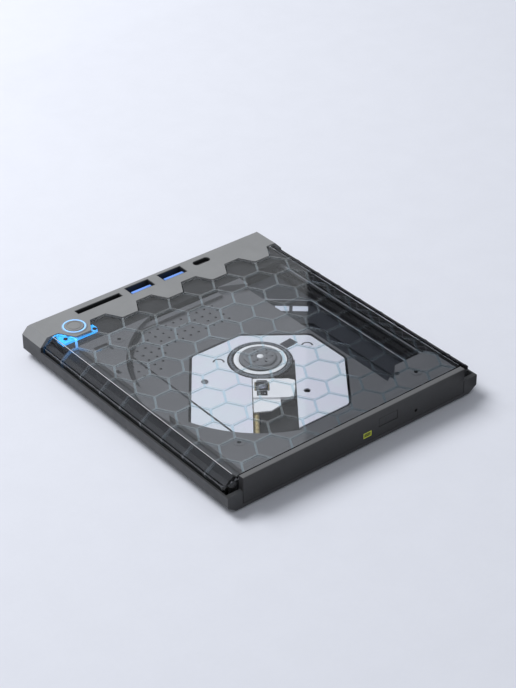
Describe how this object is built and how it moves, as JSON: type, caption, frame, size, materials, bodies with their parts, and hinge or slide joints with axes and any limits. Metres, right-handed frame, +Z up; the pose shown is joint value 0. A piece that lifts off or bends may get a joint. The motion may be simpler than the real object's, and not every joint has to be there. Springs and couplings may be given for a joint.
{
  "type": "external disc drive",
  "caption": "Slim external disc drive with a sliding tray and rails, spindle, pickup sled, clear honeycomb cover, rear bar of upward-facing ports, light button and eject button.",
  "frame": {"origin": "on the table under the middle of the case", "axes": "+X to the right along the front, -Y out of the front where the tray slides, +Z up"},
  "size_m": [0.1436, 0.155, 0.0163],
  "materials": {
    "case_plastic": "matte dark grey moulded plastic",
    "smoke_clear": "clear smoke-grey polycarbonate, glossy",
    "bar_grey": "satin mid-grey plastic",
    "tray_grey": "matte cool grey plastic",
    "plate_pale": "satin pale lavender-blue plate",
    "hub_grey": "satin grey",
    "steel": "bright turned and stamped steel",
    "black_plastic": "black moulded plastic",
    "white_plastic": "white satin",
    "rubber_black": "black rubber",
    "board_green": "green solder mask on glass-epoxy board",
    "chip_black": "black moulded chip",
    "usb_blue": "blue plastic tongue",
    "glow_blue": "translucent light guide glowing blue",
    "brass_gold": "polished gold-coloured screw",
    "lens_glass": "coated lens",
    "lamp_amber": "yellow-green indicator window",
    "cable_tan": "amber flat cable film"
  },
  "bodies": {
    "housing": {"bottom_case": "case_plastic", "rubber_feet": "rubber_black", "case_screws": "steel", "top_cover": "smoke_clear", "port_bar": "bar_grey", "card_socket": "steel", "usb_a_sockets": "steel", "usb_a_tongues": "usb_blue", "usb_c_socket": "steel", "usb_c_tongue": "black_plastic", "hub_board": "board_green", "board_chips": "chip_black", "light_guide": "glow_blue", "light_guide_screws": "steel", "light_ring": "glow_blue", "button_switch": "black_plastic", "rear_shield": "black_plastic", "drive_pan": "steel", "left_guide": "black_plastic", "right_guide": "black_plastic", "drive_board": "board_green", "flat_cable": "cable_tan", "side_liner": "black_plastic"},
    "tray": {"disc_tray": "tray_grey", "tray_runner": "black_plastic", "front_bezel": "case_plastic", "indicator_lens": "lamp_amber", "tray_shield": "steel", "tray_board": "board_green", "tray_screws": "steel", "traverse_plate": "plate_pale", "traverse_frame": "hub_grey", "frame_dampers": "rubber_black", "rod_blocks": "hub_grey", "guide_rods": "steel", "spindle_motor": "steel", "stepper_motor": "steel"},
    "left_rail": {"left_rail": "steel"},
    "right_rail": {"right_rail": "steel"},
    "eject_button": {"eject_button": "case_plastic"},
    "light_button": {"light_button": "bar_grey"},
    "turntable": {"turntable": "steel", "friction_ring": "white_plastic", "clamp_hub": "hub_grey", "clamp_claws": "hub_grey"},
    "sled": {"sled_carriage": "black_plastic", "pickup_cover": "white_plastic", "laser_flex": "white_plastic"},
    "lens": {"lens_holder": "black_plastic", "objective_lens": "lens_glass"},
    "lead_screw": {"lead_screw": "brass_gold"}
  },
  "joints": [
    {"name": "tray_slide", "type": "slide", "parent": "housing", "child": "tray", "axis": [0, -1, 0], "range_m": [0, 0.131]},
    {"name": "left_rail_slide", "type": "slide", "parent": "housing", "child": "left_rail", "axis": [0, -1, 0], "range_m": [0, 0.0655]},
    {"name": "right_rail_slide", "type": "slide", "parent": "housing", "child": "right_rail", "axis": [0, -1, 0], "range_m": [0, 0.0655]},
    {"name": "eject_press", "type": "slide", "parent": "tray", "child": "eject_button", "axis": [0, 1, 0], "range_m": [0, 0.0006], "stiffness_N_per_m": 400},
    {"name": "light_press", "type": "slide", "parent": "housing", "child": "light_button", "axis": [0, 0, -1], "range_m": [0, 0.0005], "stiffness_N_per_m": 400},
    {"name": "disc_spin", "type": "hinge", "parent": "tray", "child": "turntable", "pos_m": [0.00164, -0.00806, 0.0084], "axis": [0, 0, 1], "continuous": true},
    {"name": "pickup_travel", "type": "slide", "parent": "tray", "child": "sled", "axis": [-0.6115, -0.7912, 0], "range_m": [0, 0.034]},
    {"name": "lens_focus", "type": "slide", "parent": "sled", "child": "lens", "axis": [0, 0, 1], "range_m": [-0.0003, 0.0003], "stiffness_N_per_m": 60},
    {"name": "screw_turn", "type": "hinge", "parent": "tray", "child": "lead_screw", "pos_m": [-0.02496, -0.03806, 0.0067], "axis": [-0.6115, -0.7912, 0], "range_deg": [0, 4090]}
  ],
  "couplings": [
    {"joint": "left_rail_slide", "follows": "tray_slide", "ratio": 0.5},
    {"joint": "right_rail_slide", "follows": "tray_slide", "ratio": 0.5},
    {"joint": "screw_turn", "follows": "pickup_travel", "rad_per_m": 2094.4}
  ]
}
